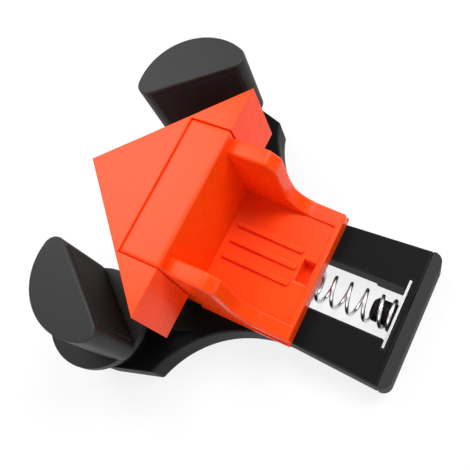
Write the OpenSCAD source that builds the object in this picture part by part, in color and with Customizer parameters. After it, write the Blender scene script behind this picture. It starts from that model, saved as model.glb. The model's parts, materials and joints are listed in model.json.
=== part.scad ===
// Spring corner clamp for boards.
// Frame: millimetres, +X to the tip of the corner block, +Y to the left jaw, +Z up.
// Origin: on the bench, on the centre line, below the rear wall of the corner block at rest.

/* [Base] */
// Thickness of the tail, the neck and the web
plate_t = 11.2; // [10.8:0.1:12]
// Distance from the origin to the end of the tail
tail_reach = 61.5; // [60:0.5:75]
// Half width of the tail at its end
tail_half = 21.8; // [18:0.1:26]
// Half width of the neck
neck_half = 20.5; // [18:0.1:26]
// Distance from the origin back to the middle of the finger arcs
arc_back = 30; // [26:0.5:36]
// Radius of the concave finger arcs
arc_r = 37; // [36:0.5:42]
// Height of the posts that carry the jaws
post_h = 20; // [17:0.1:21]
// Distance from the origin to the shoulder corners of the arms
shoulder_x = 5.5; // [2:0.5:7]
// Length of the gusset behind each post
gusset_l = 16; // [12:0.5:18]
// Thickness of the gusset behind each post
gusset_t = 5; // [3:0.1:8]
// Drop of the gusset below the top of the post
gusset_drop = 1; // [0.5:0.1:3]
// Distance from the origin to the front of the web between the arms
web_front = 14; // [11:0.5:16]
// Half width of the front of the web
web_half = 10; // [6:0.5:14]
// Wall of the hollow arms
arm_wall = 3; // [2:0.1:4]

/* [Jaw pivots] */
// Distance of the jaw pivots ahead of the origin
pivot_x = 24.5; // [22:0.1:27]
// Distance of the jaw pivots from the centre line
pivot_y = 39.5; // [38:0.1:43]
// Radius of the post under each jaw
post_r = 13; // [11.5:0.1:15]
// Diameter of the pivot stem of each jaw
stem_d = 12; // [9:0.1:13]
// Running clearance around the stem, on the radius
stem_clear = 0.05; // [0.02:0.01:0.1]
// Height of the underside recess for the washer and the screw head
post_recess_h = 5.5; // [5:0.1:8]
// How far the washer on the screw reaches past the stem
washer_lap = 1.6; // [1:0.1:2]
// Room around that washer in the recess
washer_room = 0.8; // [0.4:0.1:1.2]
// Thickness of the slip washer under the foot of the jaw
slip_t = 0.5; // [0.3:0.1:1]
// Distance of the edge of the slip washer from the edge of the post
slip_inset = 1; // [0.5:0.1:2]
// Clearance of the slip washer around the stem, on the radius
slip_clear = 0.3; // [0.1:0.1:0.5]

/* [Jaws] */
// Height of the top of the jaws above the bench
jaw_top = 50; // [44:0.5:56]
// Radius of the round back of each jaw
jaw_r = 18.5; // [17.5:0.1:20]
// Depth of each jaw from its flat face to its back
jaw_depth = 15; // [13:0.1:17]
// Distance of the flat face ahead of the pivot
face_ahead = 7.8; // [6.5:0.1:8.5]
// Turn of each jaw from parallel to its leg, at rest
jaw_turn = 8; // [0:1:12]
// Radius of the round foot
foot_r = 15.8; // [15:0.1:16.5]
// Thickness of the round foot
foot_t = 4; // [3:0.1:6]
// Radius of the upright edges at the ends of the flat face
jaw_corner_r = 3.5; // [2:0.1:5]
// Depth of the recess that holds the pad
pad_seat = 1.8; // [1:0.1:2.5]
// How far the pad stands proud of the face
pad_proud = 0.4; // [0.2:0.1:1]
// Rim of the face above and below the pad
pad_rim = 2; // [1:0.1:3]

/* [Corner block] */
// Half of the rear width, which is also the distance from the rear wall to the tip
block_half = 36; // [34:0.5:38]
// Height of the top of the block and of the tower above the bench
block_top = 50.5; // [46:0.5:56]
// Height of the underside of the block above the bench
block_low = 25; // [24.8:0.1:27]
// Wall of the hollow block
block_wall = 3; // [2:0.1:4]
// Distance from the origin to the two block screws
block_screw_x = 19; // [17.8:0.1:20]
// Distance between the two block screws
block_screw_gap = 12; // [11:0.5:13]
// Wall of the bosses around the block screws
boss_wall = 2.4; // [1.5:0.1:2.6]

/* [Slider] */
// Half width of the slider over its cheeks
slider_half = 21.5; // [19.5:0.1:23]
// Distance from the origin to the rear end of the slider
slider_reach = 31; // [30.6:0.1:34]
// Front to back depth of the tower
tower_d = 13; // [11:0.1:14]
// Thickness of the cheeks
cheek_t = 5; // [4:0.1:6]
// Height of the fins of the cheeks above the bench
fin_top = 46.5; // [42:0.5:49]
// Length of the fins
fin_l = 14.6; // [12:0.1:16]
// Chamfer on the upper corner of the fins
fin_chamfer = 3; // [1:0.1:4]
// Radius of the sweep from the fins down to the deck
sweep_r = 10; // [8:0.5:12]
// Height of the deck at its rear end
deck_rear = 17.2; // [16.5:0.1:19]
// Height of the deck at the foot of the tower
deck_front = 22; // [20:0.1:24]
// Depth of the thumb deck below the edge around it
deck_sink = 0.9; // [0.4:0.1:1.5]
// Width of the edge behind the thumb deck
deck_edge = 1.8; // [1:0.1:2]
// Number of grip ribs on the deck
rib_count = 3; // [1:1:5]
// Distance between the grip ribs
rib_gap = 5.5; // [4.5:0.1:6]
// Width of the grip ribs
rib_w = 1.8; // [1:0.1:2.5]
// Height of the grip ribs
rib_h = 1.2; // [0.6:0.1:1.5]
// Distance from the tower to the grip ribs
rib_start = 2; // [1:0.1:4]
// Distance from the grip ribs to the notch
rib_end = 1; // [0.5:0.1:3]
// Distance from the origin back to the notch in the deck
notch_back = 25; // [22:0.1:25.2]
// Length of the notch
notch_l = 3.7; // [2:0.1:3.8]
// Half width of the notch
notch_half = 3.5; // [2:0.1:5]
// Depth of the notch below the rear end of the deck
notch_depth = 5; // [2:0.1:6]
// Height of the lip along the bottom of the sides
lip_h = 1.8; // [1:0.1:3]
// How far the lip stands out
lip_out = 0.5; // [0.3:0.1:0.6]
// Wall of the hollow tower
tower_wall = 2.8; // [2:0.1:3.4]
// Thickness of the shelf under the block
shelf_t = 5.5; // [4.5:0.1:7]
// Length of the shelf ahead of the tower
shelf_l = 11; // [10.5:0.1:12]
// Half width of the shelf
shelf_half = 10; // [9.6:0.1:10.4]
// Clearance between sliding faces
slide_clear = 0.15; // [0.1:0.05:0.3]
// Gap between the block and the tower
seam = 0.15; // [0.05:0.05:0.3]

/* [Spring and stops] */
// Travel of the slider
travel = 16; // [12:0.5:17]
// Half width of the window in the tail
window_half = 8.3; // [7:0.1:9]
// Length of the end of the tail behind the window, with the palm pad
end_wall = 6.5; // [5:0.1:9]
// Distance from the origin to the front of the keel
keel_front = 2; // [1:0.1:4]
// Distance from the origin to the rear of the keel
keel_rear = 28; // [26:0.1:29]
// Outside diameter of the spring
spring_od = 10.4; // [10.1:0.1:10.9]
// Wire diameter of the spring
wire_d = 1.3; // [0.8:0.1:1.4]
// Number of turns of the spring between its closed ends
spring_turns = 4.5; // [4:0.5:6]
// Diameter of the guide peg inside the spring
peg_d = 7.4; // [5:0.1:7.6]
// Length of the guide peg
peg_l = 7.5; // [5:0.1:8]
// Chamfer on the tip of the guide peg
peg_chamfer = 1; // [0.5:0.1:1.5]
// Diameter of the stem of the peg in the stop plate
peg_stem_d = 3.5; // [2.5:0.1:3.8]
// Diameter of the spigot on the keel, inside the spring
spigot_d = 6.4; // [4:0.1:7.4]
// Length of that spigot
spigot_l = 1.6; // [1:0.1:2]
// Gap between each end of the spring and its seat
spring_gap = 0.05; // [0.02:0.01:0.1]
// Thickness of the steel stop plate
stop_t = 0.8; // [0.8:0.1:2]
// Half width of the stop plate
stop_half = 11; // [10:0.1:13]
// Depth of the top of the stop plate below the top of the tail
stop_sink = 0.1; // [0.05:0.05:0.5]
// Thickness of the palm pad on the end of the tail
palm_t = 3.3; // [2.8:0.1:4]
// Radius of the corners of the palm pad
palm_r = 3; // [2:0.1:3.3]
// Length of the rail that holds the palm pad
rail_l = 2; // [1.2:0.1:2.2]
// Half width of the rail
rail_half = 14; // [10:0.1:16]
// Height of the underside of the rail
rail_low = 2.6; // [2:0.1:3]
// Thickness of the rail
rail_h = 4; // [3:0.1:5]

/* [Keeper and fasteners] */
// Thickness of the keeper plate
keeper_t = 1.5; // [1:0.1:1.6]
// Half width of the keeper plate
keeper_half = 12; // [10:0.1:14]
// Gap between the keeper plate and the bench
keeper_lift = 0.7; // [0.4:0.1:0.8]
// Spare length of the keeper recess at each end of the travel
keeper_play = 1; // [0.5:0.1:1.5]
// Diameter of the keeper screws
keeper_screw_d = 3; // [2.5:0.1:3.5]
// Length of the keeper screws in the keel
keeper_screw_l = 6.6; // [5:0.1:7]
// Diameter of the heads of the keeper screws
keeper_head_d = 6; // [5:0.1:7]
// Distance of the keeper screws from the ends of the keel
keeper_screw_inset = 6; // [4:0.1:8]
// Diameter of the block screws
block_screw_d = 3.5; // [3:0.1:4]
// Length of the block screws below the head
block_screw_l = 16; // [12:0.5:18]
// Diameter of the heads of the block screws
block_head_d = 6.5; // [5.5:0.1:7]
// Height of the heads of the block screws
block_head_h = 2.5; // [2:0.1:3]
// Diameter of the jaw screws
jaw_screw_d = 4; // [3:0.1:5]
// Length of the jaw screws below the head
jaw_screw_l = 14; // [10:0.5:15]
// Diameter of the heads of the jaw screws
jaw_head_d = 8; // [6:0.1:9]
// Height of the heads of the jaw screws
jaw_head_h = 2.4; // [1.8:0.1:2.6]
// Thickness of the washers under the jaw screws
washer_t = 1.2; // [0.8:0.1:1.5]
// Clearance around fixed pins and screws, on the radius
pin_clear = 0.05; // [0.02:0.01:0.1]

/* [Hidden] */
$fn = 64;
// Overlap of joined shapes, and how far a cut runs past a face
eps = 0.02;
over = 1;
black = "#17191b";
dark_grey = "#3c3d40";
orange = "#f4490f";
steel = "#c9ccd0";

// Heights that follow from the base plate
slider_low = plate_t + slide_clear;
keel_low = keeper_lift + keeper_t;
keeper_roof = keel_low + slide_clear;
spring_z = plate_t / 2 + slide_clear;
spring_r = (spring_od - wire_d) / 2;

// Rear end of the window, and the length of the spring at rest from there to the keel
window_reach = tail_reach - end_wall;
spring_l = window_reach - keel_rear;

// Heights of the jaw above its arm
foot_low = post_h + slip_t + 2 * pin_clear;
foot_top = foot_low + foot_t;
stem_low = post_recess_h - 2 * pin_clear;
jaw_back = face_ahead - jaw_depth;
round_mid = jaw_back + jaw_r;

// Middle of the rounding at each end of the flat face, where it meets the face and the round back smoothly
corner_mid_x = face_ahead - jaw_corner_r;
face_half = sqrt((jaw_r - jaw_corner_r) ^ 2 - (round_mid - corner_mid_x) ^ 2);

// Distance from the origin to the front of the palm pad
palm_x = tail_reach - palm_t;

// Round pieces that follow from the stem and the screws
washer_r = stem_d / 2 + washer_lap;
boss_r = block_screw_d / 2 + boss_wall;

// Shape of the screw heads, as shares of the head and of the shank
head_taper = 0.82;
head_rim = 0.55;
slot_share = 0.22;
slot_reach = 0.55;
slot_depth = 0.6;

// A right-hand copy of left-hand children
module mirrored() {
    mirror([0, 1, 0]) children();
}

// A left-hand and a right-hand copy
module both_sides() {
    children();
    mirrored() children();
}

// A rectangular block given by its two corners
module block_between(low, high) {
    translate(low) cube(high - low);
}

// A pan head screw that points up, with its head below the origin
module pan_screw(d, l, head_d, head_h) {
    rim_h = head_h * head_rim;
    difference() {
        union() {
            cylinder(d = d, h = l);
            translate([0, 0, -head_h]) cylinder(d1 = head_d * head_taper, d2 = head_d, h = head_h - rim_h);
            translate([0, 0, -rim_h]) cylinder(d = head_d, h = rim_h);
        }
        translate([0, 0, -head_h - eps]) cross_slot(d, head_d, head_h * slot_depth);
    }
}

// Cross slot of a screw, open below
module cross_slot(d, head_d, depth) {
    reach = head_d * slot_reach;
    width = d * slot_share;
    for (turn = [45, 135]) rotate(turn) translate([-reach / 2, -width / 2, 0]) cube([reach, width, depth]);
}

// Plan of one arm: from the centre line out to the post, before the finger arc is cut
module arm_plan() {
    post = [pivot_x, pivot_y];
    corner = [shoulder_x, arc_y() - sqrt(arc_r * arc_r - pow(shoulder_x + arc_back, 2))];
    outer = tangent_point(post, post_r, corner, -1);
    inner = tangent_point(post, post_r, [web_front, web_half], 1);
    difference() {
        union() {
            polygon([
                [-arc_back, 0], [-arc_back, arc_y()], [shoulder_x, arc_y()], corner,
                outer, post, inner, [web_front, web_half], [web_front, 0]
            ]);
            translate(post) circle(r = post_r);
        }
        translate([-arc_back, arc_y()]) circle(r = arc_r, $fn = 128);
        translate([-arc_back - eps, arc_y()]) square([arc_back + shoulder_x, arc_r]);
    }
}

// Distance of the middle of a finger arc from the centre line
function arc_y() = neck_half + arc_r;

// Point where a line from p touches the circle round c
function tangent_point(c, r, p, side) =
    let (v = p - c, a = atan2(v[1], v[0]), b = acos(r / norm(v)))
    c + r * [cos(a + side * b), sin(a + side * b)];

// Plan of the tail up to the palm pad
module tail_plan() {
    polygon([
        [-palm_x, -tail_half], [-arc_back, -neck_half], [-arc_back + eps, -neck_half],
        [-arc_back + eps, neck_half], [-arc_back, neck_half], [-palm_x, tail_half]
    ]);
}

// Direction from the post of the left arm back to the neck, as an angle
function gusset_turn() = atan2(neck_half - pivot_y, -arc_back / 2 - pivot_x);

// Upright gusset that runs from the post down to the arm
module gusset() {
    low = plate_t - arm_wall;
    high = post_h - gusset_drop;
    root = (stem_d / 2 + post_r) / 2;
    tip = post_r + gusset_l;
    translate([pivot_x, pivot_y, 0]) rotate(gusset_turn()) wall_along_y(-gusset_t / 2, gusset_t / 2)
        polygon([[root, low], [tip, low], [tip, plate_t], [post_r - over, high], [root, high]]);
}

// Hollow under one arm, between the keeper recess and the post
module arm_hollow() {
    translate([0, 0, -eps]) linear_extrude(plate_t - arm_wall + eps) difference() {
        offset(delta = -arm_wall) difference() {
            arm_plan();
            translate([-arc_back - over, -over])
                square([arc_back + web_front + 2 * over, keeper_half + slide_clear + over]);
        }
        translate([pivot_x, pivot_y]) circle(r = post_r);
    }
}

module base_frame() {
    color(black) difference() {
        union() {
            linear_extrude(plate_t) tail_plan();
            linear_extrude(plate_t) both_sides() arm_plan();
            both_sides() translate([pivot_x, pivot_y, plate_t]) cylinder(r = post_r, h = post_h - plate_t);
            both_sides() gusset();
            palm_rail(eps);
        }
        both_sides() arm_hollow();
        // Window for the spring and the keel
        block_between(
            [-window_reach, -window_half, -eps],
            [-keel_front + slide_clear, window_half, plate_t + eps]
        );
        // Slot for the stop plate
        block_between(
            [-window_reach - stop_t - pin_clear, -stop_half - pin_clear, keel_low - eps],
            [-window_reach + eps, stop_half + pin_clear, plate_t + eps]
        );
        // Underside recess for the keeper plate and its travel
        block_between(
            [-keel_rear - travel - keeper_play, -keeper_half - slide_clear, -eps],
            [-keel_front + keeper_play, keeper_half + slide_clear, keeper_roof]
        );
        // Bores and underside recesses of the jaw pivots
        both_sides() translate([pivot_x, pivot_y, 0]) {
            translate([0, 0, -eps]) cylinder(r = washer_r + washer_room, h = post_recess_h + eps);
            cylinder(r = stem_d / 2 + stem_clear, h = post_h + over);
        }
    }
}

// Rail on the end of the tail, or its groove, which runs forward by lap
module palm_rail(lap) {
    block_between([-palm_x - rail_l, -rail_half, rail_low], [-palm_x + lap, rail_half, rail_low + rail_h]);
}

module palm_pad() {
    color(dark_grey) difference() {
        linear_extrude(plate_t) union() {
            translate([-tail_reach + palm_r, -tail_half]) square([palm_t - palm_r, 2 * tail_half]);
            translate([-tail_reach, -tail_half + palm_r]) square([palm_t, 2 * (tail_half - palm_r)]);
            both_sides() intersection() {
                translate([-tail_reach + palm_r, tail_half - palm_r]) circle(r = palm_r);
                translate([-tail_reach, 0]) square([palm_t, tail_half]);
            }
        }
        palm_rail(over);
    }
}

module stop_plate() {
    color(steel) difference() {
        block_between(
            [-window_reach - stop_t, -stop_half, keel_low],
            [-window_reach, stop_half, plate_t - stop_sink]
        );
        translate([-window_reach - stop_t - over, 0, spring_z]) rotate([0, 90, 0])
            cylinder(d = peg_stem_d + 2 * pin_clear, h = stop_t + 2 * over);
    }
}

module spring_guide() {
    color(black) translate([-window_reach, 0, spring_z]) rotate([0, 90, 0]) {
        cylinder(d = peg_d, h = peg_l - peg_chamfer);
        translate([0, 0, peg_l - peg_chamfer])
            cylinder(d1 = peg_d, d2 = peg_d - 2 * peg_chamfer, h = peg_chamfer);
        translate([0, 0, -stop_t]) cylinder(d = peg_stem_d, h = stop_t + eps);
    }
}

// Height along the spring after t turns: closed ends, then an even pitch
function spring_rise(t, total, open_l) =
    wire_d / 2 + (
        t < 1 ? wire_d * t
        : t > total - 1 ? wire_d + open_l + wire_d * (t - total + 1)
        : wire_d + open_l * (t - 1) / (total - 2)
    );

module coil_spring() {
    steps = 18;
    sides = 8;
    total = spring_turns + 2;
    open_l = spring_l - 2 * spring_gap - 3 * wire_d;
    rings = round(total * steps);
    points = [
        for (i = [0:rings]) let (t = i / steps, a = 360 * t, z = spring_rise(t, total, open_l))
            for (j = [0:sides - 1]) let (b = 360 * j / sides, r = spring_r + wire_d / 2 * cos(b))
                [r * cos(a), r * sin(a), z + wire_d / 2 * sin(b)]
    ];
    walls = [
        for (i = [0:rings - 1]) for (j = [0:sides - 1]) let (k = (j + 1) % sides)
            [i * sides + j, (i + 1) * sides + j, (i + 1) * sides + k, i * sides + k]
    ];
    start_cap = [[for (j = [0:sides - 1]) j]];
    end_cap = [[for (j = [sides - 1:-1:0]) rings * sides + j]];
    color(steel) translate([-window_reach + spring_gap, 0, spring_z]) rotate([0, 90, 0])
        polyhedron(points, concat(walls, start_cap, end_cap));
}

// Side view of a cheek: deck edge, sweep and fin, as X and Z
module cheek_side() {
    sweep_x = -fin_l - sweep_r;
    sweep_z = deck_height(sweep_x);
    union() {
        polygon([
            [-slider_reach, slider_low], [-slider_reach, deck_rear], [0, deck_front], [0, slider_low]
        ]);
        polygon([
            [-fin_l, slider_low], [-fin_l, fin_top - fin_chamfer], [-fin_l + fin_chamfer, fin_top],
            [0, fin_top], [0, slider_low]
        ]);
        difference() {
            translate([sweep_x, slider_low]) square([sweep_r + eps, sweep_z + sweep_r - slider_low]);
            translate([sweep_x, sweep_z + sweep_r]) circle(r = sweep_r, $fn = 96);
        }
    }
}

// Height of the deck edge at x
function deck_height(x) = deck_front + (deck_rear - deck_front) * (-x / slider_reach);

// Turns a plan in X and Z into a wall from y = low to y = high
module wall_along_y(low, high) {
    translate([0, high, 0]) rotate([90, 0, 0]) linear_extrude(high - low) children();
}

module slider() {
    inner = slider_half - cheek_t;
    edge_x = -slider_reach + deck_edge;
    color(orange) difference() {
        union() {
            both_sides() wall_along_y(inner - eps, slider_half) cheek_side();
            // Thumb deck between the cheeks, with its edge at the rear
            wall_along_y(-inner, inner) polygon([
                [-slider_reach, slider_low], [-slider_reach, deck_rear],
                [edge_x, deck_height(edge_x)], [edge_x, deck_height(edge_x) - deck_sink],
                [eps, deck_front - deck_sink], [eps, slider_low]
            ]);
            grip_ribs();
            // Tower
            block_between([0, -slider_half, slider_low], [tower_d, slider_half, block_top]);
            // Shelf under the block
            block_between(
                [tower_d - eps, -shelf_half, block_low - shelf_t],
                [tower_d + shelf_l, shelf_half, block_low]
            );
            // Lip along the bottom of the sides
            block_between(
                [-slider_reach, -slider_half - lip_out, slider_low],
                [0, slider_half + lip_out, slider_low + lip_h]
            );
            // Keel in the window
            block_between(
                [-keel_rear, -window_half + slide_clear, keel_low],
                [-keel_front, window_half - slide_clear, slider_low + eps]
            );
            translate([-keel_rear, 0, spring_z]) rotate([0, -90, 0]) cylinder(d = spigot_d, h = spigot_l);
        }
        // Notch in the deck
        block_between(
            [-notch_back - notch_l, -notch_half, deck_rear - notch_depth],
            [-notch_back, notch_half, deck_front]
        );
        // Hollow tower, open at the bottom
        both_sides() block_between(
            [tower_wall, tower_wall / 2, slider_low - eps],
            [tower_d - tower_wall, slider_half - tower_wall, block_top - tower_wall]
        );
        // Hollow sides of the deck, open at the bottom
        both_sides() block_between(
            [-slider_reach + tower_wall, window_half + tower_wall, slider_low - eps],
            [-tower_wall, slider_half - tower_wall, deck_rear - tower_wall - deck_sink]
        );
        for (x = keeper_screw_places()) translate([x, 0, keel_low - eps])
            cylinder(d = keeper_screw_d + 2 * pin_clear, h = keeper_screw_l + 2 * eps);
        block_screw_places() translate([0, 0, block_low - shelf_t - eps])
            cylinder(d = block_screw_d + 2 * pin_clear, h = shelf_t + 2 * eps);
    }
}

// Grip ribs along the thumb deck
module grip_ribs() {
    rear = rib_end - notch_back;
    rise = rib_h - deck_sink;
    for (i = [0:rib_count - 1]) let (y = (i - (rib_count - 1) / 2) * rib_gap)
        wall_along_y(y - rib_w / 2, y + rib_w / 2) polygon([
            [rear, slider_low], [rear, deck_height(rear) + rise],
            [-rib_start, deck_height(-rib_start) + rise], [-rib_start, slider_low]
        ]);
}

// Places of the keeper screws along the keel
function keeper_screw_places() = [-keel_front - keeper_screw_inset, -keel_rear + keeper_screw_inset];

// Places of the block screws
module block_screw_places() {
    for (side = [-1, 1]) translate([block_screw_x, side * block_screw_gap / 2, 0]) children();
}

// Plan of the corner block around the tower
module block_plan() {
    difference() {
        polygon([[block_half, 0], [0, block_half], [0, -block_half]]);
        translate([-over, -slider_half - seam]) square([tower_d + seam + over, 2 * (slider_half + seam)]);
    }
}

module corner_block() {
    color(orange) difference() {
        translate([0, 0, block_low]) linear_extrude(block_top - block_low) block_plan();
        translate([0, 0, block_low - eps]) linear_extrude(block_top - block_low - block_wall) difference() {
            offset(delta = -block_wall) block_plan();
            block_screw_places() circle(r = boss_r);
        }
        block_screw_places() translate([0, 0, block_low - eps])
            cylinder(d = block_screw_d + 2 * pin_clear, h = block_screw_l);
    }
}

module block_screws() {
    color(steel) block_screw_places() translate([0, 0, block_low - shelf_t])
        pan_screw(block_screw_d, block_screw_l, block_head_d, block_head_h);
}

module keeper_plate() {
    color(steel) difference() {
        block_between([-keel_rear, -keeper_half, keeper_lift], [-keel_front, keeper_half, keel_low]);
        for (x = keeper_screw_places()) translate([x, 0, keeper_lift - eps])
            cylinder(
                d1 = keeper_head_d + 2 * pin_clear, d2 = keeper_screw_d + 2 * pin_clear,
                h = keeper_t + 2 * eps
            );
    }
}

module keeper_screws() {
    color(steel) for (x = keeper_screw_places()) translate([x, 0, keeper_lift]) difference() {
        union() {
            cylinder(d1 = keeper_head_d, d2 = keeper_screw_d, h = keeper_t);
            cylinder(d = keeper_screw_d, h = keeper_t + keeper_screw_l);
        }
        translate([0, 0, -eps]) cross_slot(keeper_screw_d, keeper_head_d, keeper_t * slot_depth);
    }
}

// Puts a jaw, drawn round its pivot with its face towards +X, on the left arm at rest
module on_left_arm() {
    translate([pivot_x, pivot_y, 0]) rotate(225 + jaw_turn) children();
}

// Plan of the jaw: a round back, a flat face and round upright edges
module jaw_plan() {
    turn = atan2(face_half, corner_mid_x - round_mid);
    far = 3 * jaw_corner_r;
    difference() {
        intersection() {
            translate([round_mid, 0]) circle(r = jaw_r, $fn = 128);
            translate([jaw_back - over, -jaw_r]) square([jaw_depth + over, 2 * jaw_r]);
        }
        both_sides() translate([corner_mid_x, face_half]) difference() {
            polygon([[0, 0], for (a = [0, turn / 2, turn]) far * [cos(a), sin(a)]]);
            circle(r = jaw_corner_r);
        }
    }
}

// Recess or pad on the face of the jaw, from depth to proud, with a gap around it
module pad_block(depth, proud, gap) {
    half = face_half - gap;
    block_between(
        [face_ahead - depth, -half, foot_top + pad_rim + gap],
        [face_ahead + proud, half, jaw_top - pad_rim - gap]
    );
}

module jaw_solid() {
    difference() {
        union() {
            translate([0, 0, foot_top - eps]) linear_extrude(jaw_top - foot_top + eps) jaw_plan();
            translate([0, 0, foot_low]) cylinder(r = foot_r, h = foot_t, $fn = 128);
            translate([0, 0, stem_low]) cylinder(d = stem_d, h = foot_low - stem_low + eps);
        }
        pad_block(pad_seat, over, 0);
        translate([0, 0, stem_low - eps]) cylinder(d = jaw_screw_d + 2 * pin_clear, h = jaw_screw_l);
    }
}

module left_jaw() {
    color(dark_grey) on_left_arm() jaw_solid();
}

module left_jaw_pad() {
    color(black) on_left_arm() pad_block(pad_seat, pad_proud, pin_clear);
}

module left_jaw_screw() {
    color(steel) on_left_arm() translate([0, 0, stem_low - washer_t])
        pan_screw(jaw_screw_d, jaw_screw_l, jaw_head_d, jaw_head_h);
}

module left_jaw_washer() {
    color(steel) on_left_arm() translate([0, 0, stem_low - washer_t]) difference() {
        cylinder(r = washer_r, h = washer_t);
        translate([0, 0, -eps]) cylinder(d = jaw_screw_d + 2 * pin_clear, h = washer_t + 2 * eps);
    }
}

module left_slip_washer() {
    color("#d8d8d2") translate([pivot_x, pivot_y, post_h]) difference() {
        cylinder(r = post_r - slip_inset, h = slip_t);
        translate([0, 0, -eps]) cylinder(r = stem_d / 2 + slip_clear, h = slip_t + 2 * eps);
    }
}

module right_jaw() { mirrored() left_jaw(); }
module right_jaw_pad() { mirrored() left_jaw_pad(); }
module right_jaw_screw() { mirrored() left_jaw_screw(); }
module right_jaw_washer() { mirrored() left_jaw_washer(); }
module right_slip_washer() { mirrored() left_slip_washer(); }

base_frame();
palm_pad();
stop_plate();
spring_guide();
coil_spring();
slider();
corner_block();
block_screws();
keeper_plate();
keeper_screws();
left_jaw();
left_jaw_pad();
left_jaw_screw();
left_jaw_washer();
left_slip_washer();
right_jaw();
right_jaw_pad();
right_jaw_screw();
right_jaw_washer();
right_slip_washer();
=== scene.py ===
"""Spring corner clamp: moulded plastics, rubber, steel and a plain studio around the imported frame."""

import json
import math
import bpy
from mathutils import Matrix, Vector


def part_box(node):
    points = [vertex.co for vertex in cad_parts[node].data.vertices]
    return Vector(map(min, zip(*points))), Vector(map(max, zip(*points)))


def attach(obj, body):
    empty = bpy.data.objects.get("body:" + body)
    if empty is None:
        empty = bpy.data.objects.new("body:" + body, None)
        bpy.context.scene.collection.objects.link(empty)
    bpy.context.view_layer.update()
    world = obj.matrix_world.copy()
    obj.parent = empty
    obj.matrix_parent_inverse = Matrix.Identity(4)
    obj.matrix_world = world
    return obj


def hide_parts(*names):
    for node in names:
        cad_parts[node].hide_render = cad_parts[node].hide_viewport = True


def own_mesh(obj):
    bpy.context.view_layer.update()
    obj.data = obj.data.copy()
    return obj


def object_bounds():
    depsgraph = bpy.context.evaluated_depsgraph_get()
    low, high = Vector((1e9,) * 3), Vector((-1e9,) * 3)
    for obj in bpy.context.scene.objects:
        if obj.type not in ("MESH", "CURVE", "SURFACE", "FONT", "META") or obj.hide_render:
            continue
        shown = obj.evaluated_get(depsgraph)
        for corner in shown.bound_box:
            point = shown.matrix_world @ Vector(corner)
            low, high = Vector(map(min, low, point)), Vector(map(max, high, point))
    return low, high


bl_info = {
    "name": "Spring corner clamp",
    "version": (1, 0, 0),
    "blender": (4, 5, 0),
    "location": "View3D > Sidebar > Clamp",
    "description": "Dresses the packed corner clamp with its plastics, rubber and steel",
    "category": "Object",
}

import bmesh
import bpy
from bpy.props import FloatProperty, FloatVectorProperty, IntProperty, PointerProperty
from mathutils import Vector
from mathutils.kdtree import KDTree

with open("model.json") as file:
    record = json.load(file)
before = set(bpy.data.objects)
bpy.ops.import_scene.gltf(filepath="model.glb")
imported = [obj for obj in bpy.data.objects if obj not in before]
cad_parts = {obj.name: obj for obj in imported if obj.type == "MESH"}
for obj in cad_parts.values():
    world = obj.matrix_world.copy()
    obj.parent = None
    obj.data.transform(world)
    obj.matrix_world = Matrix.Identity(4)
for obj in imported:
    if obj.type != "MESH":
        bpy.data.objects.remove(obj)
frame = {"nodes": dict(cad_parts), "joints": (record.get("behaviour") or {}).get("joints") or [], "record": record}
cad_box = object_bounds()

MM = 0.001
FULL_TURN = 2 * math.pi
# Points closer than this are one point when a node's loose triangles are joined
WELD = 0.03 * MM
# Points closer than this are one point when the turned sheet of a screw is closed
SCREW_WELD = 0.004 * MM
# Faces that meet at less than this are one flat face
FLAT_TURN = math.radians(0.4)
# Edges that turn more than this are rounded
SHARP_TURN = math.radians(34)
# Share of the room up to the next outer edge that a rounding may take
ROOM_SHARE = 0.3
# An inner edge leaves this many times the room of an outer one
INNER_ROOM = 2
# Edges that meet at less than this run on into each other
RUN_ON = math.radians(40)
# Steps between the points that stand for sharp edges, and for the outer ones among them
SHARP_STEP = 0.1 * MM
OUTER_STEP = 0.5 * MM
# Most of an edge's length that is kept free of points at each end
FREE_END = 0.45
# A point lies beside an edge while it is ahead by less than this share of its distance
AHEAD_SHARE = 0.2
# Radius of edges that stay sharp
SHARP = 0.0
# Material numbers of flat faces and of roundings while a piece is being rounded
FACE = 0
ROUNDING = 1


class ClampSizes(bpy.types.PropertyGroup):
    """Sizes of the finish: edge radii, the spring wire and the screws."""

    slider_edge: FloatProperty(
        name="Slider edges",
        description="Radius of the edges of the slider, apart from its seam with the block",
        default=1.0 * MM, min=0.0, unit="LENGTH",
    )
    block_edge: FloatProperty(
        name="Block edges", description="Radius of the edges of the corner block and of its seam",
        default=0.3 * MM, min=0.0, unit="LENGTH",
    )
    base_edge: FloatProperty(
        name="Base edges", description="Radius of the edges of the base",
        default=0.7 * MM, min=0.0, unit="LENGTH",
    )
    jaw_edge: FloatProperty(
        name="Jaw edges", description="Radius of the edges of the swivel jaws",
        default=1.0 * MM, min=0.0, unit="LENGTH",
    )
    rubber_edge: FloatProperty(
        name="Rubber edges", description="Radius of the edges of the rubber pads",
        default=0.8 * MM, min=0.0, unit="LENGTH",
    )
    steel_edge: FloatProperty(
        name="Steel edges", description="Radius of the edges of plates and washers",
        default=0.15 * MM, min=0.0, unit="LENGTH",
    )
    wire: FloatProperty(
        name="Spring wire", description="Diameter of the wire of the spring",
        default=1.3 * MM, min=0.2 * MM, unit="LENGTH",
    )
    coil: FloatProperty(
        name="Coil radius", description="Radius of the spring at the middle of its wire",
        default=4.55 * MM, min=1.0 * MM, unit="LENGTH",
    )
    turns: FloatProperty(
        name="Turns", description="Turns of the spring between its closed ends", default=4.5, min=2.0,
    )
    thread: FloatProperty(
        name="Thread", description="Distance between the turns of the screw threads",
        default=1.2 * MM, min=0.3 * MM, unit="LENGTH",
    )
    wire_steps: IntProperty(
        name="Wire steps", description="Steps along each turn of the spring", default=36, min=12,
    )


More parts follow.
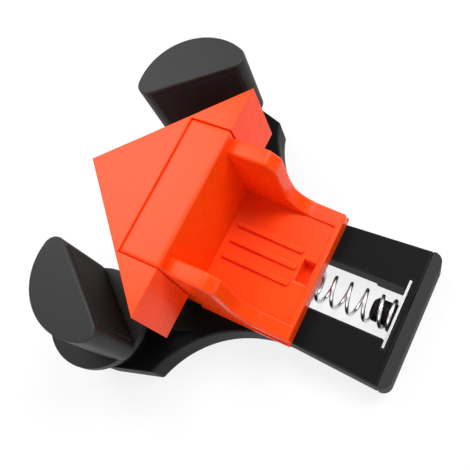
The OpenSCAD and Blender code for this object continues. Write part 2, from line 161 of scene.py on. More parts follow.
class ClampColours(bpy.types.PropertyGroup):
    """Colours of the finishes."""

    orange: FloatVectorProperty(
        name="Orange plastic", description="Colour of the slider and the corner block",
        subtype="COLOR", size=4, default=(0.95, 0.058, 0.002, 1.0), min=0.0, max=1.0,
    )
    black: FloatVectorProperty(
        name="Black plastic", description="Colour of the base and the spring guide",
        subtype="COLOR", size=4, default=(0.0035, 0.0035, 0.0036, 1.0), min=0.0, max=1.0,
    )
    grey: FloatVectorProperty(
        name="Jaw plastic", description="Colour of the swivel jaws",
        subtype="COLOR", size=4, default=(0.014, 0.014, 0.0142, 1.0), min=0.0, max=1.0,
    )
    rubber: FloatVectorProperty(
        name="Rubber", description="Colour of the jaw pads",
        subtype="COLOR", size=4, default=(0.006, 0.0061, 0.0063, 1.0), min=0.0, max=1.0,
    )
    palm: FloatVectorProperty(
        name="Palm rubber", description="Colour of the palm pad",
        subtype="COLOR", size=4, default=(0.02, 0.0202, 0.0205, 1.0), min=0.0, max=1.0,
    )
    steel: FloatVectorProperty(
        name="Steel", description="Colour of the spring, plates and screws",
        subtype="COLOR", size=4, default=(0.66, 0.67, 0.69, 1.0), min=0.0, max=1.0,
    )
    acetal: FloatVectorProperty(
        name="Acetal", description="Colour of the slip washers",
        subtype="COLOR", size=4, default=(0.72, 0.71, 0.66, 1.0), min=0.0, max=1.0,
    )


class ClampStudio(bpy.types.PropertyGroup):
    """Camera and light of the studio."""

    camera_place: FloatVectorProperty(
        name="Camera place", description="Where the camera stands",
        subtype="TRANSLATION", size=3, default=(-74.95 * MM, 39.12 * MM, 189.72 * MM),
    )
    camera_turn: FloatVectorProperty(
        name="Camera turn", description="How the camera is turned",
        subtype="EULER", size=3, default=[math.radians(a) for a in (21.648, 15.105, -152.657)],
    )
    lens: FloatProperty(name="Lens", description="Focal length in millimetres", default=46.4, min=10.0)
    front_power: FloatProperty(
        name="Front light", description="Power of the soft box over the front",
        default=1.5, min=0.0, unit="POWER",
    )
    right_power: FloatProperty(
        name="Right light", description="Power of the soft box high on the right",
        default=4.6, min=0.0, unit="POWER",
    )
    left_power: FloatProperty(
        name="Left light", description="Power of the soft box on the left",
        default=1.2, min=0.0, unit="POWER",
    )
    sky: FloatProperty(
        name="Sky", description="Strength of the even light from all round", default=0.25, min=0.0,
    )
    floor_size: FloatProperty(
        name="Floor", description="Width of the floor", default=4.0, min=0.5, unit="LENGTH",
    )


def find_socket(sockets, key):
    """A socket by its number, identifier or name."""
    if isinstance(key, int):
        return sockets[key]
    for socket in sockets:
        if key in (socket.identifier, socket.name) and socket.enabled:
            return socket
    raise KeyError(f"no socket {key!r} among {[s.identifier for s in sockets]}")


class Socket:
    """An output of a node. Arithmetic on it adds Math nodes."""

    def __init__(self, tree, link):
        self.tree = tree
        self.link = link

    def __add__(self, other):
        return self.tree.maths("ADD", self, other)

    def __radd__(self, other):
        return self.tree.maths("ADD", other, self)

    def __sub__(self, other):
        return self.tree.maths("SUBTRACT", self, other)

    def __rsub__(self, other):
        return self.tree.maths("SUBTRACT", other, self)

    def __mul__(self, other):
        return self.tree.maths("MULTIPLY", self, other)

    def __rmul__(self, other):
        return self.tree.maths("MULTIPLY", other, self)

    def __truediv__(self, other):
        return self.tree.maths("DIVIDE", self, other)

    def __neg__(self):
        return self.tree.maths("MULTIPLY", self, -1.0)


class Tree:
    """A node tree that is built by calls."""

    def __init__(self, tree):
        self.tree = tree

    def add(self, kind, settings=None, values=None, out=0):
        """Adds a node with its settings, then its socket values or links, and gives one output."""
        node = self.tree.nodes.new(kind)
        for key, value in (settings or {}).items():
            setattr(node, key, value)
        for key, value in (values or {}).items():
            socket = find_socket(node.inputs, key)
            for one in value if isinstance(value, list) else [value]:
                if isinstance(one, Socket):
                    self.tree.links.new(one.link, socket)
                else:
                    socket.default_value = one
        return None if out is None else Socket(self, find_socket(node.outputs, out))

    def maths(self, operation, *terms):
        """A Math node."""
        return self.add("ShaderNodeMath", {"operation": operation}, dict(enumerate(terms)))

    def clamped(self, term):
        """A number held between 0 and 1."""
        return self.add("ShaderNodeMath", {"operation": "ADD", "use_clamp": True}, {0: term, 1: 0.0})

    def mixed(self, share, first, second):
        """A colour between two colours."""
        values = {"Factor_Float": share, "A_Color": first, "B_Color": second}
        return self.add("ShaderNodeMix", {"data_type": "RGBA"}, values, "Result_Color")

    def vector(self, x, y, z):
        """A vector from three numbers."""
        return self.add("ShaderNodeCombineXYZ", None, {"X": x, "Y": y, "Z": z})

    def noise(self, place, grain, detail=2.0):
        """Noise from 0 to 1 whose lumps are about grain across."""
        return self.add("ShaderNodeTexNoise", None, {"Vector": place, "Scale": 1 / grain, "Detail": detail})


def tinted(colour, share):
    """A colour made brighter or darker."""
    return tuple(min(1.0, part * share) for part in colour[:3]) + (1.0,)


def new_material(name):
    """An empty material and its tree."""
    material = bpy.data.materials.new(name)
    material.use_nodes = True
    material.node_tree.nodes.clear()
    return material, Tree(material.node_tree)


def moulded_plastic(name, colour, roughness, gloss, grain, relief):
    """Moulded plastic: a spark-eroded grain, faint clouds of colour and edges painted a little lighter, partly
    light wear and partly a painted highlight along the roundings.
    """
    material, tree = new_material(name)
    place = tree.add("ShaderNodeTexCoord", out="Object")
    cloud_size = 14 * MM
    wear_and_sheen_share = 0.35
    # Edges painted lighter along the roundings: light wear and a painted highlight.
    wear_and_sheen_colour = tinted([part + 0.05 for part in colour], 1.3)
    clouds = tree.noise(place, cloud_size, 3.0)
    pebbles = tree.noise(place, grain)
    wear_and_sheen = tree.add("ShaderNodeAttribute", {"attribute_name": "wear_and_sheen"}, out="Fac")
    patches = tree.clamped(clouds * 2.2 - 0.6)
    even = tree.mixed(clouds, tinted(colour, 0.93), tinted(colour, 1.06))
    base = tree.mixed(wear_and_sheen * patches * wear_and_sheen_share, even, wear_and_sheen_colour)
    rough = roughness * (0.75 + 0.3 * pebbles + 0.2 * clouds)
    bump = tree.add("ShaderNodeBump", None, {"Strength": 0.6, "Distance": relief, "Height": pebbles})
    values = {"Base Color": base, "Roughness": rough, "Specular IOR Level": gloss, "Normal": bump}
    shader = tree.add("ShaderNodeBsdfPrincipled", None, values)
    tree.add("ShaderNodeOutputMaterial", None, {"Surface": shader}, None)
    return material


def matte_rubber(name, colour):
    """Rubber: matte, with a fine dull bloom and a soft stipple."""
    material, tree = new_material(name)
    place = tree.add("ShaderNodeTexCoord", out="Object")
    bloom_size = 6 * MM
    stipple_size = 0.5 * MM
    relief = 0.05 * MM
    bloom = tree.noise(place, bloom_size, 4.0)
    values = {"Vector": place, "Scale": 1 / stipple_size}
    stipple = tree.add("ShaderNodeTexVoronoi", {"feature": "SMOOTH_F1"}, values, "Distance")
    base = tree.mixed(bloom, tinted(colour, 0.8), tinted(colour, 1.3))
    rough = 0.72 + (bloom - 0.5) * 0.2
    bump = tree.add("ShaderNodeBump", None, {"Strength": 0.5, "Distance": relief, "Height": stipple})
    values = {"Base Color": base, "Roughness": rough, "Specular IOR Level": 0.2, "Normal": bump}
    shader = tree.add("ShaderNodeBsdfPrincipled", None, values)
    tree.add("ShaderNodeOutputMaterial", None, {"Surface": shader}, None)
    return material


def bright_steel(name, colour, roughness, streak):
    """Steel with fine streaks; streak stretches them along X, Y and Z."""
    material, tree = new_material(name)
    place = tree.add("ShaderNodeTexCoord", out="Object")
    along = tree.add("ShaderNodeMapping", None, {"Vector": place, "Scale": streak})
    line_size = 0.4 * MM
    stain_size = 5 * MM
    relief = 0.01 * MM
    lines = tree.noise(along, line_size, 3.0)
    stains = tree.noise(place, stain_size, 3.0)
    base = tree.mixed(stains, tinted(colour, 0.86), tinted(colour, 1.06))
    rough = roughness + (lines - 0.5) * 0.18 + (stains - 0.5) * 0.1
    bump = tree.add("ShaderNodeBump", None, {"Strength": 0.3, "Distance": relief, "Height": lines})
    values = {"Base Color": base, "Roughness": rough, "Metallic": 1.0, "Normal": bump}
    shader = tree.add("ShaderNodeBsdfPrincipled", None, values)
    tree.add("ShaderNodeOutputMaterial", None, {"Surface": shader}, None)
    return material


def orange_plastic(name, paint):
    """Glossy orange plastic of the slider and the corner block."""
    return moulded_plastic(name, paint.orange, roughness=0.27, gloss=0.13, grain=0.7 * MM, relief=0.007 * MM)


def black_plastic(name, paint):
    """Dull black plastic of the base and the spring guide."""
    return moulded_plastic(name, paint.black, roughness=0.5, gloss=0.06, grain=0.8 * MM, relief=0.05 * MM)


def jaw_plastic(name, paint):
    """Grained dark grey plastic of the swivel jaws."""
    return moulded_plastic(name, paint.grey, roughness=0.5, gloss=0.2, grain=0.9 * MM, relief=0.06 * MM)


def slip_plastic(name, paint):
    """Pale slippery plastic of the washers under the jaws."""
    return moulded_plastic(name, paint.acetal, roughness=0.45, gloss=0.4, grain=0.5 * MM, relief=0.02 * MM)


def jaw_rubber(name, paint):
    """Black rubber of the jaw pads."""
    return matte_rubber(name, paint.rubber)


def palm_rubber(name, paint):
    """Dark grey rubber of the palm pad."""
    return matte_rubber(name, paint.palm)


def spring_steel(name, paint):
    """Bright drawn wire of the spring."""
    return bright_steel(name, paint.steel, roughness=0.26, streak=(1.0, 1.0, 1.0))


def steel_plate(name, paint):
    """Darker rolled steel of the stop plate and the keeper plate, with its streaks across the clamp."""
    return bright_steel(name, tinted(paint.steel, 0.5), roughness=0.42, streak=(1.0, 0.1, 1.0))


def zinc_screw(name, paint):
    """Zinc plated steel of the screws and washers, with its streaks upright."""
    return bright_steel(name, tinted(paint.steel, 0.9), roughness=0.36, streak=(1.0, 1.0, 0.3))


FINISHES = {
    "orange_plastic": orange_plastic,
    "black_plastic": black_plastic,
    "jaw_plastic": jaw_plastic,
    "slip_plastic": slip_plastic,
    "jaw_rubber": jaw_rubber,
    "palm_rubber": palm_rubber,
    "spring_steel": spring_steel,
    "steel_plate": steel_plate,
    "zinc_screw": zinc_screw,
}


def finish_of(slot):
    """The finish of one of the record's slots, made once."""
    name = f"{slot}_finish"
    if name in bpy.data.materials:
        return bpy.data.materials[name]
    return FINISHES[slot](name, bpy.context.scene.clamp_colours)


def slot_of(node):
    """The record's material slot of a node."""
    for subpart in frame["record"]["subparts"]:
        if subpart["node"] == node:
            return subpart["material_slot"]
    raise KeyError(f"no subpart for the node {node}")


def body_of(node):
    """The body that a node rides on."""
    for body, members in frame["record"]["behaviour"]["bodies"].items():
        if node in members:
            return body
    raise KeyError(f"no body holds the node {node}")


def linked(name, mesh):
    """A new object in the scene."""
    piece = bpy.data.objects.new(name, mesh)
    bpy.context.scene.collection.objects.link(piece)
    return piece


def settled(piece):
    """Turns a piece's modifiers into its own plain mesh."""
    bpy.context.view_layer.update()
    graph = bpy.context.evaluated_depsgraph_get()
    mesh = bpy.data.meshes.new_from_object(piece.evaluated_get(graph))
    piece.modifiers.clear()
    piece.data = mesh
    return piece


def stand_in(piece, node):
    """Puts a finished piece in the place of a node."""
    slot = slot_of(node)
    piece.data.materials.clear()
    piece.data.materials.append(finish_of(slot))
    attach(piece, body_of(node))
    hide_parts(node)
    return piece


def joined_shape(node):
    """A node's loose triangles joined to a closed shape with flat faces."""
    shape = bmesh.new()
    shape.from_mesh(frame["nodes"][node].data)
    bmesh.ops.remove_doubles(shape, verts=shape.verts, dist=WELD)
    bmesh.ops.dissolve_limit(shape, angle_limit=FLAT_TURN, verts=shape.verts, edges=shape.edges)
    return shape


def dotted_edges(edges, step, inset=0.0):
    """Points along some edges, a step apart at most and clear of the ends, each after its edge's number."""
    dots = []
    for edge in edges:
        first, last = (corner.co for corner in edge.verts)
        length = (last - first).length
        start = min(inset / length, FREE_END)
        span = 1 - 2 * start
        count = math.ceil(span * length / step)
        dots += [(edge.index, first.lerp(last, start + span * (i + 0.5) / count)) for i in range(count)]
    return dots


def running_on(shape, chosen):
    """Groups chosen edges, by number, into chains that run on smoothly."""
    left = set(chosen)
    chains = []
    while left:
        chain = [left.pop()]
        for number in chain:
            for corner in shape.edges[number].verts:
                ahead = corner.co - shape.edges[number].other_vert(corner).co
                for other in corner.link_edges:
                    onward = other.other_vert(corner).co - corner.co
                    if other.index in left and ahead.angle(onward) < RUN_ON:
                        left.remove(other.index)
                        chain.append(other.index)
        chains.append(chain)
    return chains


def inside(place, box):
    """Whether a place lies within a box, a weld's width clear of its sides."""
    return all(low + WELD < part < high - WELD for low, part, high in zip(box[0], place, box[1]))


def box_around(node, room):
    """A node's box with some room on every side."""
    low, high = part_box(node)
    margin = Vector((room, room, room))
    return low - margin, high + margin


def corner_room(edge):
    """How far an edge can move into its faces before it passes the next corner of one of them."""
    room = math.inf
    for loop in edge.link_loops:
        after = loop.link_loop_next
        for at, beside in ((loop, loop.link_loop_prev.edge), (after, after.edge)):
            ahead = at.vert.co - edge.other_vert(at.vert).co
            onward = beside.other_vert(at.vert).co - at.vert.co
            turn = ahead.angle(onward)
            if at.is_convex and RUN_ON < turn < math.pi - RUN_ON:
                room = min(room, onward.length * math.sin(turn))
    return room


def weigh_edges(shape, radius, finer):
    """Gives each chain of outer edges the share of the radius that the edges beside it leave room for."""
    weight = shape.edges.layers.float.new("bevel_weight_edge")
    shape.edges.index_update()
    shape.edges.ensure_lookup_table()
    sharp = [edge for edge in shape.edges if edge.is_manifold and edge.calc_face_angle() > SHARP_TURN]
    dots = dotted_edges(sharp, SHARP_STEP)
    near = KDTree(len(dots))
    for number, (owner, place) in enumerate(dots):
        near.insert(place, number)
    near.balance()
    reach = radius / ROOM_SHARE
    outer = [edge for edge in sharp if edge.is_convex]
    rooms = {edge.index: min(reach, corner_room(edge)) for edge in outer}
    for edge in outer:
        middle = (edge.verts[0].co + edge.verts[1].co) / 2
        for box, fine_radius in finer:
            if inside(middle, box):
                rooms[edge.index] = min(rooms[edge.index], fine_radius / ROOM_SHARE)
    for owner, spot in dotted_edges(outer, OUTER_STEP, 2 * reach):
        first, last = (corner.co for corner in shape.edges[owner].verts)
        along = (last - first).normalized()
        for place, number, distance in near.find_range(spot, rooms[owner]):
            ahead = abs((place - spot).dot(along))
            other = dots[number][0]
            if other != owner and distance > WELD and ahead < AHEAD_SHARE * distance:
                room = distance if shape.edges[other].is_convex else INNER_ROOM * distance
                rooms[owner] = min(rooms[owner], room)
    for chain in running_on(shape, rooms):
        room = min(rooms[owner] for owner in chain)
        for owner in chain:
            shape.edges[owner][weight] = room / reach


def rounded_piece(node, name, radius, rounds=3, finer=()):
    """A rounded copy of a node, which stands in for it; finer pairs boxes with the radius inside them."""
    shape = joined_shape(node)
    weigh_edges(shape, radius, finer)
    mesh = bpy.data.meshes.new(name)
    shape.to_mesh(mesh)
    shape.free()
    if "custom_normal" in mesh.attributes:
        mesh.attributes.remove(mesh.attributes["custom_normal"])
    mesh.shade_smooth()
    for _ in (FACE, ROUNDING):
        mesh.materials.append(None)
    piece = linked(name, mesh)
    bevel = piece.modifiers.new("Moulded edges", "BEVEL")
    bevel.width = radius
    bevel.segments = rounds
    bevel.limit_method = "WEIGHT"
    bevel.use_clamp_overlap = False
    bevel.material = ROUNDING
    settled(piece)
    # Mask of the edges painted lighter: light wear and a painted highlight.
    mark_wear_and_sheen_edges(piece.data)
    piece.data.set_sharp_from_angle(angle=SHARP_TURN)
    piece.modifiers.new("Even flat faces", "WEIGHTED_NORMAL").keep_sharp = True
    settled(piece)
    return stand_in(piece, node)


def mark_wear_and_sheen_edges(mesh):
    """Stores where the roundings are, the mask of edges painted lighter as light wear and a painted highlight: 1
    along their middle, 0 on the faces beside them.
    """
    wear_and_sheen = [1.0] * len(mesh.vertices)
    for face in mesh.polygons:
        if face.material_index == FACE:
            for corner in face.vertices:
                wear_and_sheen[corner] = 0.0
    mesh.attributes.new("wear_and_sheen", "FLOAT", "POINT").data.foreach_set("value", wear_and_sheen)


def new_group(name, sizes):
    """An empty Geometry Nodes tree with geometry in and out and named sizes."""
    group = bpy.data.node_groups.new(name, "GeometryNodeTree")
    group.interface.new_socket("Geometry", in_out="INPUT", socket_type="NodeSocketGeometry")
    for size, kind in sizes.items():
        group.interface.new_socket(size, in_out="INPUT", socket_type=kind)
    group.interface.new_socket("Geometry", in_out="OUTPUT", socket_type="NodeSocketGeometry")
    return group, Tree(group)


def grown(name, group, points, inputs):
    """A plain mesh grown by a Geometry Nodes tree from some points."""
    mesh = bpy.data.meshes.new(name)
    mesh.from_pydata(points, [], [])
    piece = linked(name, mesh)
    modifier = piece.modifiers.new(group.name, "NODES")
    modifier.node_group = group
    for item in group.interface.items_tree:
        if item.in_out == "INPUT" and item.name in inputs:
            modifier[item.identifier] = inputs[item.name]
    return settled(piece)


def close_group(tree, shape):
    """Ends a Geometry Nodes tree: real geometry, smooth, with its material."""
    material = tree.add("NodeGroupInput", out="Material")
    smooth = tree.add("GeometryNodeSetShadeSmooth", None, {"Geometry": shape})
    real = tree.add("GeometryNodeRealizeInstances", None, {"Geometry": smooth})
    painted = tree.add("GeometryNodeSetMaterial", None, {"Geometry": real, "Material": material})
    tree.add("NodeGroupOutput", None, {"Geometry": painted}, None)


def coil_group():
    """Tree of a compression spring along X with closed ends."""
    number = "NodeSocketFloat"
    sizes = {"Wire": number, "Coil": number, "Turns": number, "Length": number, "Steps": "NodeSocketInt",
             "Start": "NodeSocketVector", "Material": "NodeSocketMaterial"}
    group, tree = new_group("Spring coil", sizes)
    wire, coil, turns, length, steps, start = (
        tree.add("NodeGroupInput", out=size) for size in ("Wire", "Coil", "Turns", "Length", "Steps", "Start")
    )
    closed_turns = 2.0
    wire_sides = 14
    pitch = (length - (closed_turns + 1.0) * wire) / turns
    turn = tree.add("GeometryNodeInputIndex") / steps
    opened = tree.maths("MINIMUM", tree.maths("MAXIMUM", turn - 1.0, 0.0), turns)
    rise = wire * (turn + 0.5) + opened * (pitch - wire)
    angle = turn * FULL_TURN
    wound = tree.vector(rise, coil * tree.maths("SINE", angle), -coil * tree.maths("COSINE", angle))
    place = tree.add("ShaderNodeVectorMath", {"operation": "ADD"}, {0: start, 1: wound})
    line = tree.add("GeometryNodeCurvePrimitiveLine")
    count = (turns + closed_turns) * steps + 1.0
    dotted = tree.add("GeometryNodeResampleCurve", {"mode": "COUNT"}, {"Curve": line, "Count": count})
    helix = tree.add("GeometryNodeSetPosition", None, {"Geometry": dotted, "Position": place})
    values = {"Resolution": wire_sides, "Radius": wire * 0.5}
    section = tree.add("GeometryNodeCurvePrimitiveCircle", None, values)
    values = {"Curve": helix, "Profile Curve": section, "Fill Caps": True}
    close_group(tree, tree.add("GeometryNodeCurveToMesh", None, values))
    return group


def screw_group():
    """Tree of upright screws: a head, a cone below a flat head, a threaded shank and a cross slot."""
    number = "NodeSocketFloat"
    sizes = {"Shank": number, "Length": number, "Head": number, "Rise": number, "Cone": number,
             "Thread": number, "Material": "NodeSocketMaterial"}
    group, tree = new_group("Cross head screws", sizes)
    shank, length, head, rise, cone, thread = (
        tree.add("NodeGroupInput", out=size) for size in ("Shank", "Length", "Head", "Rise", "Cone", "Thread")
    )
    sides, dome_rings, cone_rings, shank_rings, tip_rings = 32, 8, 3, 84, 3
    rings = dome_rings + cone_rings + shank_rings + tip_rings + 1
    dome_power, rim_power = 2.5, 0.6
    thread_depth = 0.45
    slot_length, slot_width, slot_depth = 0.55, 0.24, 0.9
    values = {"Vertices X": sides + 1, "Vertices Y": rings}
    sheet = tree.add("GeometryNodeMeshGrid", None, values)
    index = tree.add("GeometryNodeInputIndex")
    side = tree.maths("FLOOR", (index + 0.5) / rings)
    ring = index - side * rings
    dome = tree.clamped(ring / dome_rings)
    flare = tree.clamped((ring - dome_rings) / cone_rings)
    run = tree.clamped((ring - (dome_rings + cone_rings)) / shank_rings)
    tip = tree.clamped((ring - (rings - 1 - tip_rings)) / tip_rings)
    angle = side * (FULL_TURN / sides)
    height = rise * (tree.maths("POWER", dome, dome_power) - 1.0) + cone * flare + (length - cone) * run
    ridge = tree.maths("PINGPONG", height / thread + side / sides, 0.5)
    cut = ridge * thread * thread_depth * tree.maths("GREATER_THAN", run, 0.0)
    wide = tree.maths("POWER", dome, rim_power) * head * 0.5
    radius = (wide + (shank - head) * 0.5 * flare - cut) * (1.0 - tip)
    turned = tree.vector(radius * tree.maths("COSINE", angle), radius * tree.maths("SINE", angle), height)
    body = tree.add("GeometryNodeSetPosition", None, {"Geometry": sheet, "Position": turned})
    whole = tree.add("GeometryNodeMergeByDistance", None, {"Geometry": body, "Distance": SCREW_WELD})
    blade = tree.vector(head * slot_length, shank * slot_width, (rise + cone) * slot_depth)
    foot = tree.vector(0.0, 0.0, -rise)
    blades = []
    for turn in (0.0, FULL_TURN / 4):
        bar = tree.add("GeometryNodeMeshCube", None, {"Size": blade})
        values = {"Geometry": bar, "Translation": foot, "Rotation": (0.0, 0.0, turn)}
        blades.append(tree.add("GeometryNodeTransform", None, values))
    settings = {"operation": "UNION", "solver": "EXACT"}
    cutter = tree.add("GeometryNodeMeshBoolean", settings, {"Mesh 2": blades})
    settings = {"operation": "DIFFERENCE", "solver": "EXACT"}
    slotted = tree.add("GeometryNodeMeshBoolean", settings, {"Mesh 1": whole, "Mesh 2": cutter})
    places = tree.add("NodeGroupInput", out="Geometry")
    values = {"Min_001": 0.0, "Max_001": FULL_TURN / 4, "Seed": 4}
    spin = tree.add("FunctionNodeRandomValue", {"data_type": "FLOAT"}, values, "Value_001")
    values = {"Points": places, "Instance": slotted, "Rotation": tree.vector(0.0, 0.0, spin)}
    close_group(tree, tree.add("GeometryNodeInstanceOnPoints", None, values))
    return group


def set_screws(node, name, places, head, rise, shank, cone=0.0):
    """Screws of one node, grown where they stand, from the foot of the node's box to its top."""
    low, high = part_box(node)
    shoulder = low.z + rise
    inputs = {
        "Shank": shank, "Length": high.z - shoulder, "Head": head, "Rise": rise, "Cone": cone,
        "Thread": bpy.context.scene.clamp_sizes.thread, "Material": finish_of(slot_of(node)),
    }
    group = bpy.data.node_groups.get("Cross head screws") or screw_group()
    piece = grown(name, group, [(x, y, shoulder) for x, y in places], inputs)
    piece.data.set_sharp_from_angle(angle=math.radians(45))
    return stand_in(piece, node)


class CLAMP_OT_base(bpy.types.Operator):
    """Dress the black base and the rubber palm pad on its tail"""

    bl_idname = "clamp.base"
    bl_label = "Base"

    def execute(self, context):
        sizes = context.scene.clamp_sizes
        rounded_piece("base_frame", "moulded_base", sizes.base_edge)
        rounded_piece("palm_pad", "rubber_palm_pad", sizes.rubber_edge)
        return {"FINISHED"}


class CLAMP_OT_spring(bpy.types.Operator):
    """Wind the spring and dress its stop plate and guide"""

    bl_idname = "clamp.spring"
    bl_label = "Spring"

    def execute(self, context):
        sizes = context.scene.clamp_sizes
        low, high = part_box("coil_spring")
        start = Vector((low.x, 0.0, (low.z + high.z) / 2))
        inputs = {
            "Wire": sizes.wire, "Coil": sizes.coil, "Turns": sizes.turns, "Length": high.x - low.x,
            "Steps": sizes.wire_steps, "Start": start, "Material": finish_of("spring_steel"),
        }
        spring = stand_in(grown("wound_spring", coil_group(), [start], inputs), "coil_spring")
        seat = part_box("stop_plate")[1].x
        slide = next(joint for joint in frame["joints"] if joint["name"] == "slider_slide")
        travel = slide["range_m"][1]
        rest = high.x - seat
        (rest - travel) / rest
        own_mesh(spring)
        rounded_piece("stop_plate", "steel_stop_plate", sizes.steel_edge)
        rounded_piece("spring_guide", "moulded_spring_guide", 2 * sizes.steel_edge)
        return {"FINISHED"}


def hollow_rims():
    """A thin box just above the plate of the base, around the rims of the hollows under the slider."""
    low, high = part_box("slider")
    plate_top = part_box("palm_pad")[1].z
    margin = 1.0 * MM
    layer = 0.3 * MM
    first = Vector((low.x + margin, low.y + margin, plate_top))
    return first, Vector((0.0, high.y - margin, plate_top + layer))


class CLAMP_OT_slider(bpy.types.Operator):
    """Dress the orange slider and the corner block on its shelf"""

    bl_idname = "clamp.slider"
    bl_label = "Slider and corner block"

    def execute(self, context):
        sizes = context.scene.clamp_sizes
        finer = [(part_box("corner_block"), sizes.block_edge), (hollow_rims(), SHARP)]
        rounded_piece("slider", "moulded_slider", sizes.slider_edge, rounds=4, finer=finer)
        rounded_piece("corner_block", "moulded_corner_block", sizes.block_edge)
        rounded_piece("keeper_plate", "steel_keeper_plate", sizes.steel_edge)
        return {"FINISHED"}


class CLAMP_OT_jaws(bpy.types.Operator):
    """Dress the two swivel jaws, their pads and their washers"""

    bl_idname = "clamp.jaws"
    bl_label = "Swivel jaws"

    def execute(self, context):
        sizes = context.scene.clamp_sizes
        for side in ("left", "right"):
            finer = [(box_around(f"{side}_jaw_pad", 3 * sizes.steel_edge), SHARP)]
            rounded_piece(f"{side}_jaw", f"{side}_moulded_jaw", sizes.jaw_edge, rounds=4, finer=finer)
            rounded_piece(f"{side}_jaw_pad", f"{side}_rubber_pad", 2 * sizes.steel_edge)
            rounded_piece(f"{side}_jaw_washer", f"{side}_steel_washer", sizes.steel_edge)
            rounded_piece(f"{side}_slip_washer", f"{side}_acetal_washer", sizes.steel_edge)
        return {"FINISHED"}


class CLAMP_OT_screws(bpy.types.Operator):
    """Turn in the screws of the block, the keeper and the jaws"""

    bl_idname = "clamp.screws"
    bl_label = "Screws"

    def execute(self, context):
        head = 6.5 * MM
        low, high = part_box("block_screws")
        places = [((low.x + high.x) / 2, y) for y in (low.y + head / 2, high.y - head / 2)]
        set_screws("block_screws", "zinc_block_screws", places, head, rise=2.5 * MM, shank=3.5 * MM)
        head = 6.0 * MM
        low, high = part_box("keeper_screws")
        places = [(x, 0.0) for x in (low.x + head / 2, high.x - head / 2)]
        flat_head = {"rise": 0.02 * MM, "shank": 3.0 * MM, "cone": 1.5 * MM}
        set_screws("keeper_screws", "zinc_keeper_screws", places, head, **flat_head)
        head = 8.0 * MM
        for side in ("left", "right"):
            node = f"{side}_jaw_screw"
            low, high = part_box(node)
            places = [((low.x + high.x) / 2, (low.y + high.y) / 2)]
            set_screws(node, f"{side}_zinc_jaw_screw", places, head, rise=2.4 * MM, shank=4.0 * MM)
        return {"FINISHED"}


def seen_share(tree):
    """1 for what the camera sees, by itself, mirrored or through glass, else 0."""
    camera, glossy, transmission = (
        tree.add("ShaderNodeLightPath", out=f"Is {ray} Ray") for ray in ("Camera", "Glossy", "Transmission")
    )
    return tree.clamped(camera + glossy + transmission)


def pale_floor():
    """A pale floor that keeps a soft shadow under the clamp and turns white further out."""
    material, tree = new_material("studio_floor")
    place = tree.add("ShaderNodeTexCoord", out="Object")
    away = tree.add("ShaderNodeVectorMath", {"operation": "LENGTH"}, {0: place}, "Value")
    shadow_reach = 0.1
    fade_width = 0.5
    least_white = 0.82
    open_floor = tree.clamped((away - shadow_reach) / fade_width)
    paper = tree.add("ShaderNodeBsdfDiffuse", None, {"Color": (0.93, 0.93, 0.93, 1.0)})
    white = tree.add("ShaderNodeEmission", None, {"Color": (1.0, 1.0, 1.0, 1.0), "Strength": 1.0})
    whiteness = least_white + (1.0 - least_white) * open_floor
    values = {"Fac": seen_share(tree) * whiteness, 1: paper, 2: white}
    shader = tree.add("ShaderNodeMixShader", None, values)
    tree.add("ShaderNodeOutputMaterial", None, {"Surface": shader}, None)
    return material


def even_sky(strength):
    """A white world that lights evenly and is plain white to the camera."""
    world = bpy.data.worlds.new("studio_sky")
    world.use_nodes = True
    world.node_tree.nodes.clear()
    tree = Tree(world.node_tree)
    level = strength + seen_share(tree) * (1.0 - strength)
    sky = tree.add("ShaderNodeBackground", None, {"Color": (1.0, 1.0, 1.0, 1.0), "Strength": level})
    tree.add("ShaderNodeOutputWorld", None, {"Surface": sky}, None)
    return world


def soft_box(name, target, direction, distance, width, power):
    """A square soft light that looks at the target from a direction."""
    lamp = bpy.data.lights.new(name, "AREA")
    lamp.size = width
    lamp.energy = power
    box = linked(name, lamp)
    away = Vector(direction).normalized()
    box.location = target + away * distance
    box.rotation_euler = away.to_track_quat("Z", "Y").to_euler()
    return box


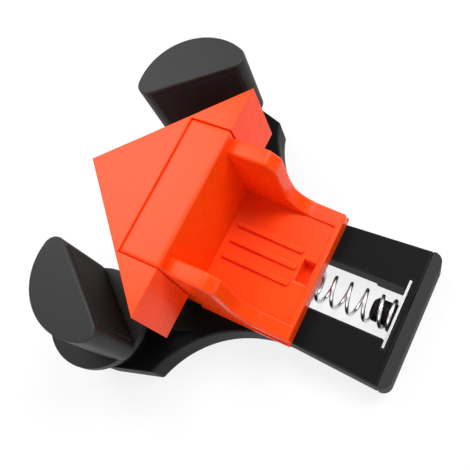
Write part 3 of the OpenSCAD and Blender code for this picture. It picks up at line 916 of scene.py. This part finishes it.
class CLAMP_OT_stage(bpy.types.Operator):
    """Set up the floor, the lights and the camera"""

    bl_idname = "clamp.stage"
    bl_label = "Stage"

    def execute(self, context):
        scene = context.scene
        studio = scene.clamp_studio
        middle = (cad_box[0] + cad_box[1]) / 2
        half = studio.floor_size / 2
        floor_gap = 0.2 * MM
        depth = cad_box[0].z - floor_gap
        corners = [(x, y, depth) for x, y in ((-half, -half), (half, -half), (half, half), (-half, half))]
        mesh = bpy.data.meshes.new("studio_floor")
        mesh.from_pydata(corners, [], [(0, 1, 2, 3)])
        mesh.materials.append(pale_floor())
        linked("studio_floor", mesh)
        scene.world = even_sky(studio.sky)
        low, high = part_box("corner_block")
        block_middle = (low + high) / 2
        near_box = {"distance": 0.5, "width": 0.24}
        far_box = {"distance": 0.7, "width": 0.4}
        soft_box("front_light", block_middle, (0.526, -0.228, 0.819), power=studio.front_power, **near_box)
        soft_box("right_light", middle, (-0.3, -0.5, 0.8), power=studio.right_power, **far_box)
        soft_box("left_light", middle, (0.0, 0.8, 0.5), power=studio.left_power, **far_box)
        camera = linked("photo_camera", bpy.data.cameras.new("photo_camera"))
        camera.location = studio.camera_place
        camera.rotation_euler = studio.camera_turn
        camera.data.lens = studio.lens
        camera.data.clip_start = 0.01
        scene.camera = camera
        scene.view_settings.view_transform = "Standard"
        return {"FINISHED"}


OPERATORS = (
    CLAMP_OT_base, CLAMP_OT_spring, CLAMP_OT_slider, CLAMP_OT_jaws, CLAMP_OT_screws, CLAMP_OT_stage,
)


class CLAMP_PT_panel(bpy.types.Panel):
    """Lists the pieces of the clamp and its sizes, colours and studio"""

    bl_idname = "CLAMP_PT_panel"
    bl_label = "Spring corner clamp"
    bl_space_type = "VIEW_3D"
    bl_region_type = "UI"
    bl_category = "Clamp"

    def draw(self, context):
        for operator in OPERATORS:
            self.layout.operator(operator.bl_idname)
        for group in (context.scene.clamp_sizes, context.scene.clamp_colours, context.scene.clamp_studio):
            box = self.layout.box()
            for name in group.__annotations__:
                box.prop(group, name)


GROUPS = {"clamp_sizes": ClampSizes, "clamp_colours": ClampColours, "clamp_studio": ClampStudio}


def register():
    """Registers the classes and hangs the settings on the scene."""
    for name, group in GROUPS.items():
        bpy.utils.register_class(group)
        setattr(bpy.types.Scene, name, PointerProperty(type=group))
    for one in OPERATORS + (CLAMP_PT_panel,):
        bpy.utils.register_class(one)


def unregister():
    """Takes the classes and the settings away again."""
    for one in reversed(OPERATORS + (CLAMP_PT_panel,)):
        bpy.utils.unregister_class(one)
    for name, group in GROUPS.items():
        delattr(bpy.types.Scene, name)
        bpy.utils.unregister_class(group)


def main():
    """Makes every piece in order."""
    register()
    bpy.ops.clamp.base()
    bpy.ops.clamp.spring()
    bpy.ops.clamp.slider()
    bpy.ops.clamp.jaws()
    bpy.ops.clamp.screws()
    bpy.ops.clamp.stage()


if __name__ == "__main__":
    main()
